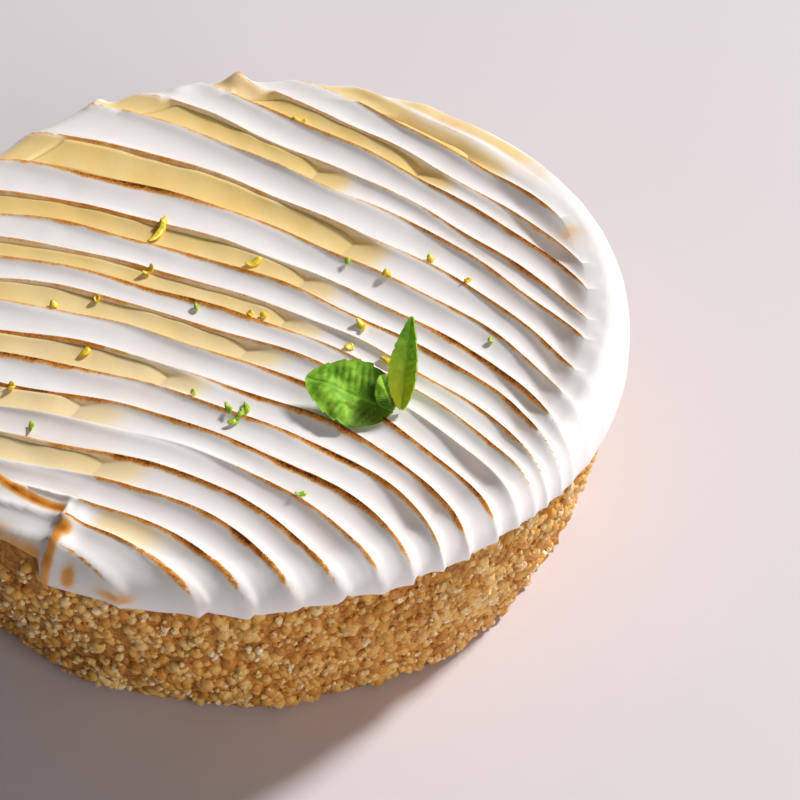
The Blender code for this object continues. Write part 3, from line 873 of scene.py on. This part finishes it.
GRAIN_KINDS = {
    "crumb_grains": dict(
        seed=7, count=5000, size=(0.5, 1.4), squash=(0.7, 1.1), out=-0.25, finish="Golden crumb",
        roughness=0.35, weight=0.2, smooth=True,
        stops=[(0.0, "A86018"), (0.3, "D6912F"), (0.65, "ECB55C"), (1.0, "F9DCA2")],
    ),
    "sugar_crystals": dict(
        seed=17, count=2300, size=(0.3, 0.75), squash=(0.7, 1.1), out=0.3, finish="Sugar crystals",
        roughness=0.12, weight=0.2, smooth=False,
        stops=[(0.0, "DFA248"), (0.5, "EFC680"), (1.0, "FBE8C4")],
    ),
    "browned_crumbs": dict(
        seed=27, count=700, size=(0.42, 0.85), squash=(0.6, 1.1), out=0.1, finish="Browned crumb",
        roughness=0.6, weight=0.1, smooth=True,
        stops=[(0.0, "8A4A12"), (0.5, "C07A20"), (1.0, "DE9A3A")],
    ),
}


def build_grains(kind):
    """One kind of grain scattered over the outside of the case."""
    rng = np.random.default_rng(kind["seed"])
    count = kind["count"]
    places = wall_places(rng, count, 0.13, 0.985, kind["out"])
    sizes = rng.uniform(*kind["size"], count)
    reach = np.hypot(places[:, 0], places[:, 1])
    limit = CASE_RADIUS - sizes * 0.9
    places[:, :2] *= np.minimum(1.0, limit / reach)[:, None]
    places[:, 2] = np.maximum(places[:, 2], sizes * 1.05)
    points, faces = scattered(rng, places, sizes, kind["squash"])
    points[:, 2] = np.maximum(points[:, 2], 0.0)
    patch = 0.5 + 0.5 * lumps(*places.T, 6.0, kind["seed"])
    tone = 0.45 * patch + 0.55 * rng.uniform(0, 1, count)
    return points, faces, np.repeat(tone, 12)


# ---------------------------------------------------------------------- mint

LEAF_ALONG, LEAF_ACROSS = 72, 49
LEAF_THICKNESS = 0.22
# Each leaf: its foot, turn, pitch and roll, its form, the painted shade near its foot, and
# its puckers as place along and across, height and radius
LEAVES = {
    "mint_leaf_left": dict(
        foot=(19.0, -26.2, 34.6), turn=156, pitch=11, roll=-24, length=12.8, width=9.2, blunt=0.55,
        cup=0.035, curl=0.02, fold=0.10, teeth=6, tooth=0.05, glow=0.05, painted_shade=0.9,
        puckers=((9.2, 0.7, 0.95, 1.9), (6.6, 3.0, 1.0, 1.5), (4.0, -1.8, 0.35, 1.2), (7.6, -2.6, 0.4, 1.3)),
    ),
    "mint_leaf_middle": dict(
        foot=(19.0, -25.9, 34.6), turn=113, pitch=47, roll=0, length=4.9, width=3.6, blunt=0.6,
        cup=0.10, curl=0.0, fold=0.15, teeth=4, tooth=0.05, glow=0.0, painted_shade=0.9, puckers=(),
    ),
    "mint_leaf_right": dict(
        foot=(20.1, -26.0, 34.4), turn=72, pitch=59, roll=-14, length=13.0, width=3.7, blunt=0.8,
        cup=0.06, curl=0.0, fold=0.42, teeth=9, tooth=0.06, glow=0.75, painted_shade=0.0, puckers=(),
    ),
}


def leaf_surface(length, width, blunt, cup, curl, fold, teeth, tooth, puckers):
    """A leaf from its foot along +X. Its half width is a skewed sine, the blunter the lower
    its power, with saw teeth. Across, it is folded at the midrib, cupped and puffed between
    its side veins, and each pucker adds a round swelling."""
    t = np.linspace(0.0, 1.0, LEAF_ALONG)[:, None]
    w = np.linspace(-1.0, 1.0, LEAF_ACROSS)[None, :]
    half = width / 2 * np.sin(math.pi * np.clip(t, 0, 0.999) ** 0.78) ** blunt
    saw = np.mod(t * teeth, 1.0)
    half = half * (1 - tooth + 2 * tooth * (1 - saw) ** 0.7) + 0.16
    side = half * w
    x = length * t + 0.35 * np.abs(side) * (0.6 - t)
    slant = 2 * math.pi * (t * 6.5 - 0.55 * np.abs(w))
    vein = np.clip(1 - np.abs(np.sin(slant)) / 0.16, 0, 1) * (np.cos(slant) > 0)
    vein = vein * (np.abs(w) < 0.92) * (t < 0.93)
    midrib = np.exp(-((side / 0.17) ** 2)) * (1 - 0.6 * t)
    puff = 0.14 * np.abs(np.sin(slant)) * np.sin(math.pi * np.abs(w)) * np.sin(math.pi * t)
    z = cup * side**2 + fold * np.abs(side) + curl * length * t**2 + puff - 0.14 * midrib
    for place, aside, height, wide in puckers:
        z = z + height * np.exp(-(((x - place) ** 2 + (side - aside) ** 2) / wide**2) ** 1.5)
    return np.stack(np.broadcast_arrays(x, side, z), axis=-1), np.maximum(vein, midrib)


def turned_points(points, turn, pitch, roll, foot):
    """Points turned by roll about X, pitch about Y and turn about Z, then moved to foot."""
    a, b, g = math.radians(roll), -math.radians(pitch), math.radians(turn)
    about_x = np.array([[1, 0, 0], [0, math.cos(a), -math.sin(a)], [0, math.sin(a), math.cos(a)]])
    about_y = np.array([[math.cos(b), 0, math.sin(b)], [0, 1, 0], [-math.sin(b), 0, math.cos(b)]])
    about_z = np.array([[math.cos(g), -math.sin(g), 0], [math.sin(g), math.cos(g), 0], [0, 0, 1]])
    return points @ (about_z @ about_y @ about_x).T + np.array(foot)


def build_leaf(name, foot, turn, pitch, roll, glow, painted_shade, material, **form):
    """A leaf blade as two sheets a leaf's thickness apart, closed round its edge."""
    upper, vein = leaf_surface(**form)
    along = np.gradient(upper, axis=0)
    across = np.gradient(upper, axis=1)
    normal = np.cross(along, across)
    normal /= np.maximum(np.linalg.norm(normal, axis=-1, keepdims=True), 1e-9)
    lower = upper - LEAF_THICKNESS * normal
    rows, columns = upper.shape[:2]
    count = rows * columns
    border = border_of(rows, columns)
    points = np.concatenate([upper.reshape(-1, 3), lower.reshape(-1, 3)])
    quads = np.concatenate([grid_quads(rows, columns)[:, ::-1], grid_quads(rows, columns) + count,
                            ring_quads(border, border + count)])
    t = np.repeat(np.linspace(0, 1, rows)[:, None], columns, axis=1).ravel()
    fields = {
        "underside": np.concatenate([np.zeros(count), np.ones(count)]),
        "vein": np.tile(vein.ravel(), 2),
        "glow": np.tile(glow * (1 - smooth_step((t - 0.05) / 0.85)), 2),
        # painted shade near the foot of the blade, where the upright leaf shadows it
        "painted_shade": np.tile(painted_shade * (1 - smooth_step((t - 0.24) / 0.2)), 2),
    }
    add_piece(name + "_blade", turned_points(points, turn, pitch, roll, foot), quads, material,
              [name], fields)


# ---------------------------------------------------------------------- zest

# Curls of peel as x, y, length, turn in degrees and bend in radians
LEMON_ZEST = (
    (-12.6, 17.0, 7.2, 62, 0.9), (-14.0, 7.0, 2.2, 20, 0.4), (1.5, 8.0, 2.8, 15, 0.8),
    (-23.0, -9.5, 2.0, 30, 0.5), (20.7, 2.7, 1.6, 10, 0.4), (27.5, 6.0, 1.6, 80, 0.8),
    (32.3, 0.3, 1.4, 40, 0.4), (0.5, -3.7, 1.2, 35, 0.3), (2.5, -4.0, 1.2, 80, 0.3),
    (-21.3, 1.6, 0.9, 0, 0.2), (-27.5, 1.0, 1.8, 85, 0.3), (16.0, -8.0, 2.6, 110, 0.9),
    (19.0, -16.0, 3.0, 120, 0.8), (14.0, -12.0, 1.6, 20, 0.6), (10.5, 42.0, 2.6, -30, 0.5),
    (-33.0, -16.0, 1.2, 60, 0.4),
)
LIME_ZEST = (
    (-7.0, -1.8, 1.5, 95, 0.3), (15.3, 6.2, 1.2, 75, 0.4), (-8.0, -19.8, 0.9, 60, 0.3),
    (-3.4, -23.6, 2.6, 100, 0.7), (-2.7, -25.4, 2.3, 30, 1.4), (-1.7, -24.6, 2.0, 65, 0.8),
    (-0.9, -23.2, 2.6, 95, 0.6), (-30.0, -24.0, 2.2, 88, 0.3), (5.5, -40.0, 1.8, 5, 0.7),
    (12.0, -27.0, 1.6, 50, 2.4), (34.0, -13.0, 1.2, 70, 0.6),
)
CURL_STEPS, CURL_SIDES = 14, 6


def zest_curl(x, y, length, turn, bend_angle, width, rng):
    """A strip of peel carried along an arc: its flat oval section is turned a little on its
    way and its ends taper."""
    s = np.linspace(-0.5, 0.5, CURL_STEPS)
    heading = math.radians(turn) + bend_angle * s
    step = length / CURL_STEPS
    path_x = x + np.cumsum(np.cos(heading)) * step - np.cos(math.radians(turn)) * length / 2
    path_y = y + np.cumsum(np.sin(heading)) * step - np.sin(math.radians(turn)) * length / 2
    lift = 0.22 + 0.35 * rng.uniform() * (2 * s) ** 2 + 0.25 * np.abs(np.sin(3 * s + rng.uniform(0, 3)))
    path_z = top_height(path_x, path_y)
    path_z = np.maximum(path_z, path_z.mean()) + lift
    round_section = np.linspace(0, 2 * math.pi, CURL_SIDES, endpoint=False)
    taper = (1 - (2 * s) ** 4)[:, None] * 0.75 + 0.25
    twist = (rng.uniform(-0.6, 0.6) + 1.2 * s)[:, None]
    flat = width / 2 * np.cos(round_section)[None, :] * taper
    thick = width / 5 * np.sin(round_section)[None, :] * taper
    aside = flat * np.cos(twist) - thick * np.sin(twist)
    up = flat * np.sin(twist) + thick * np.cos(twist)
    points = np.stack([
        path_x[:, None] - np.sin(heading)[:, None] * aside,
        path_y[:, None] + np.cos(heading)[:, None] * aside,
        path_z[:, None] + up,
    ], axis=-1)
    return points


def build_zest(curls, width, seed):
    """All curls of one peel joined into one mesh, their ends closed by triangles."""
    rng = np.random.default_rng(seed)
    points, faces, total = [], [], 0
    for curl in curls:
        tube = zest_curl(*curl, width, rng)
        count = CURL_STEPS * CURL_SIDES
        quads = grid_quads(CURL_STEPS, CURL_SIDES, wrap=True)
        sides = np.concatenate([quads[:, [0, 1, 2]], quads[:, [0, 2, 3]]])
        fan = np.arange(1, CURL_SIDES - 1)
        start = np.stack([np.zeros_like(fan), fan + 1, fan], axis=1)
        end = np.stack([np.zeros_like(fan), fan, fan + 1], axis=1) + count - CURL_SIDES
        faces.append(np.concatenate([sides, start, end]) + total)
        points.append(tube.reshape(-1, 3))
        total += count
    return np.concatenate(points), np.concatenate(faces)


# ----------------------------------------------------------- settings and UI


class TartColours(bpy.types.PropertyGroup):
    """Colours a user would change, as sRGB hex."""

    meringue: bpy.props.StringProperty(
        name="Meringue", description="Untoasted meringue", default="F3EFF1")
    curd: bpy.props.StringProperty(
        name="Curd", description="Lemon curd in the strokes", default="F7E0B2")
    curd_deep: bpy.props.StringProperty(
        name="Deep curd", description="Lemon curd where it lies thick", default="F1CE82")
    crumb: bpy.props.StringProperty(
        name="Crumb", description="Pressed biscuit crumb", default="DC9A40")
    # Partly painted shade: this dark crumb goes where the bump is low, standing for shade in the crevices
    # between the grains
    crumb_dark_and_crevice_shade: bpy.props.StringProperty(
        name="Dark crumb", description="Crumb in the gaps between the grains", default="94581A")
    crumb_brown: bpy.props.StringProperty(
        name="Browned crumb", description="Crumb that caught the heat", default="C0741E")
    mint: bpy.props.StringProperty(
        name="Mint", description="Upper side of the mint leaves", default="A6D444")
    mint_dark: bpy.props.StringProperty(
        name="Dark mint", description="Deeper green of the mint leaves", default="6BA528")
    # Painted shade: this dark green near the foot of a leaf stands for the shadow that the upright leaf
    # casts
    mint_painted_shade: bpy.props.StringProperty(
        name="Mint shade", description="Old dark green near the foot of a leaf", default="3C5A0E")
    mint_light: bpy.props.StringProperty(
        name="Light mint", description="Yellow green near the joint", default="D8DC28")
    mint_under: bpy.props.StringProperty(
        name="Mint underside", description="Paler lower side of the leaves", default="9CC94E")
    mint_vein: bpy.props.StringProperty(
        name="Mint vein", description="Veins of the leaves", default="A8CC50")
    ground: bpy.props.StringProperty(
        name="Ground", description="Surface that the tart stands on", default="DFD7DA")


class TartSettings(bpy.types.PropertyGroup):
    """Sizes and lights a user would change."""

    zest_width: bpy.props.FloatProperty(
        name="Zest width", description="Width of a strip of peel", default=1.25 * MM, min=0.1 * MM,
        unit="LENGTH", subtype="DISTANCE")
    key_power: bpy.props.FloatProperty(
        name="Key light", description="Power of the key light", default=103.0, min=0, unit="POWER")
    side_power: bpy.props.FloatProperty(
        name="Side light", description="Power of the soft light from the near side", default=24.0,
        min=0, unit="POWER")
    fill_strength: bpy.props.FloatProperty(
        name="Fill", description="Strength of the light from all round", default=0.10, min=0)


class TART_OT_meringue(bpy.types.Operator):
    """Build the combed and toasted meringue"""

    bl_idname = "tart.meringue"
    bl_label = "Meringue"

    def execute(self, context):
        build_meringue(context.scene.tart_colours)
        return {"FINISHED"}


class TART_OT_curd(bpy.types.Operator):
    """Build the lemon curd"""

    bl_idname = "tart.curd"
    bl_label = "Lemon curd"

    def execute(self, context):
        build_curd(context.scene.tart_colours)
        return {"FINISHED"}


class TART_OT_case(bpy.types.Operator):
    """Build the pressed case and the loose grains on it"""

    bl_idname = "tart.case"
    bl_label = "Crumb case"

    def execute(self, context):
        build_case(context.scene.tart_colours)
        for name, kind in GRAIN_KINDS.items():
            points, faces, tone = build_grains(kind)
            material = crumb_grains(kind["finish"], kind["stops"], kind["roughness"], kind["weight"])
            add_piece(name, points, faces, material, fields={"tone": tone},
                      smooth=kind["smooth"])
        return {"FINISHED"}


class TART_OT_mint(bpy.types.Operator):
    """Build the three mint leaves"""

    bl_idname = "tart.mint"
    bl_label = "Mint tip"

    def execute(self, context):
        material = mint_leaf(context.scene.tart_colours)
        for name, form in LEAVES.items():
            build_leaf(name, material=material, **form)
        return {"FINISHED"}


class TART_OT_zest(bpy.types.Operator):
    """Scatter the curls of lemon and lime peel"""

    bl_idname = "tart.zest"
    bl_label = "Zest"

    def execute(self, context):
        width = context.scene.tart_settings.zest_width / MM
        for name, curls, share, seed, pale, deep in (
            ("lemon_zest", LEMON_ZEST, 1.0, 3, "F2DE4E", "E3C21E"),
            ("lime_zest", LIME_ZEST, 0.72, 4, "B9CF3C", "7FAE1B"),
        ):
            points, faces = build_zest(curls, width * share, seed)
            add_piece(name, points, faces, citrus_zest(name.replace("_", " ").title(), pale, deep))
        return {"FINISHED"}


CAMERA_PLACE = (0.0, -231.6, 231.7)
CAMERA_AIM = (20.2, -23.7, 34.1)
LENS_MM = 94.5
# Each lamp's direction and height in degrees, and its distance and width in millimetres
KEY_LAMP = (28, 40, 3000.0, 420.0)
SIDE_LAMP = (-52, 20, 2600.0, 1500.0)


def add_lamp(scene, name, azimuth, elevation, distance, size, power):
    """A round white lamp that looks at the tart from this direction."""
    azimuth, elevation = math.radians(azimuth), math.radians(elevation)
    place = Vector((math.cos(elevation) * math.cos(azimuth), math.cos(elevation) * math.sin(azimuth),
                    math.sin(elevation))) * distance * MM
    lamp = bpy.data.lights.new(name, "AREA")
    lamp.shape = "DISK"
    lamp.size = size * MM
    lamp.energy = power
    made = bpy.data.objects.new(name, lamp)
    made.location = place
    made.rotation_euler = (-place).to_track_quat("-Z", "Y").to_euler()
    scene.collection.objects.link(made)


class TART_OT_stage(bpy.types.Operator):
    """Set up the ground, the lights and the camera"""

    bl_idname = "tart.stage"
    bl_label = "Stage"

    def execute(self, context):
        scene, settings = context.scene, context.scene.tart_settings
        bpy.ops.mesh.primitive_plane_add(size=6.0)
        floor = context.object
        floor.name = "ground"
        floor.data.materials.append(matt_ground(scene.tart_colours.ground))

        add_lamp(scene, "key", *KEY_LAMP, settings.key_power)
        add_lamp(scene, "side", *SIDE_LAMP, settings.side_power)

        world = bpy.data.worlds.new("Soft studio")
        world.use_nodes = True
        background = world.node_tree.nodes["Background"]
        background.inputs["Color"].default_value = (1.0, 1.0, 1.0, 1.0)
        background.inputs["Strength"].default_value = settings.fill_strength
        scene.world = world

        lens = bpy.data.cameras.new("camera")
        lens.lens, lens.sensor_width = LENS_MM, 36.0
        lens.clip_start, lens.clip_end = 0.01, 20.0
        camera = bpy.data.objects.new("camera", lens)
        camera.location = Vector(CAMERA_PLACE) * MM
        aim = (Vector(CAMERA_AIM) - Vector(CAMERA_PLACE)).normalized()
        camera.rotation_euler = aim.to_track_quat("-Z", "Y").to_euler()
        scene.collection.objects.link(camera)
        scene.camera = camera
        scene.view_settings.view_transform = "Standard"
        return {"FINISHED"}


class TART_PT_panel(bpy.types.Panel):
    """Sidebar panel that lists the tart's pieces"""

    bl_idname = "TART_PT_panel"
    bl_label = "Lemon Meringue Tart"
    bl_space_type = "VIEW_3D"
    bl_region_type = "UI"
    bl_category = "Tart"

    def draw(self, context):
        for operator in OPERATORS:
            self.layout.operator(operator.bl_idname)
        for group in (context.scene.tart_settings, context.scene.tart_colours):
            for key in group.__annotations__:
                self.layout.prop(group, key)


OPERATORS = (TART_OT_case, TART_OT_curd, TART_OT_meringue, TART_OT_mint, TART_OT_zest, TART_OT_stage)
CLASSES = (TartColours, TartSettings, *OPERATORS, TART_PT_panel)


def register():
    """Adds the tart's classes and its two groups of settings."""
    for cls in CLASSES:
        bpy.utils.register_class(cls)
    bpy.types.Scene.tart_colours = bpy.props.PointerProperty(type=TartColours)
    bpy.types.Scene.tart_settings = bpy.props.PointerProperty(type=TartSettings)


def unregister():
    """Takes them away again."""
    del bpy.types.Scene.tart_settings
    del bpy.types.Scene.tart_colours
    for cls in reversed(CLASSES):
        bpy.utils.unregister_class(cls)


def main():
    """Builds the tart and its stage."""
    register()
    bpy.ops.tart.case()
    bpy.ops.tart.curd()
    bpy.ops.tart.meringue()
    bpy.ops.tart.mint()
    bpy.ops.tart.zest()
    bpy.ops.tart.stage()


if __name__ == "__main__":
    main()
